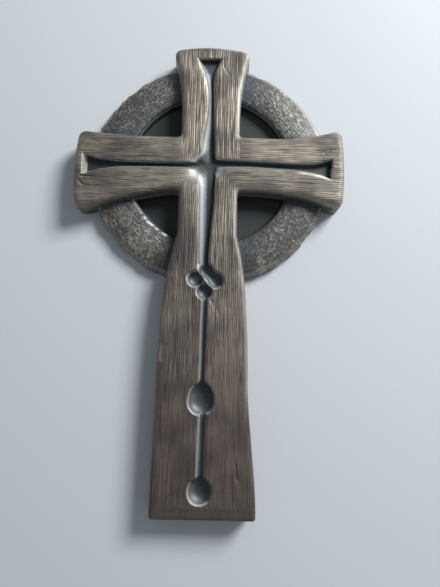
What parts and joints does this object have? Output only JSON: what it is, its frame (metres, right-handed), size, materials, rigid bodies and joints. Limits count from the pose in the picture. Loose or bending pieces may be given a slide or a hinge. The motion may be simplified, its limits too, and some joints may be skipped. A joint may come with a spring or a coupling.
{
  "type": "ringed cross ornament",
  "caption": "Small cast ringed cross with a flat back, flared arms, blind windows inside the ring, grooves, pockets and round hollows, in a bronze finish.",
  "frame": {"origin": "on the flat back, at the centre of the outline's bounding box", "axes": "+Z out of the carved front, +Y along the shaft from the foot to the head, +X to the right arm as seen from the front"},
  "size_m": [0.1192, 0.2034, 0.012],
  "materials": {
    "bronze": "dark brown patina rubbed paler on the raised grain, smooth dark grey in the recesses"
  },
  "bodies": {
    "root": {"ringed_cross": "bronze"}
  },
  "joints": []
}
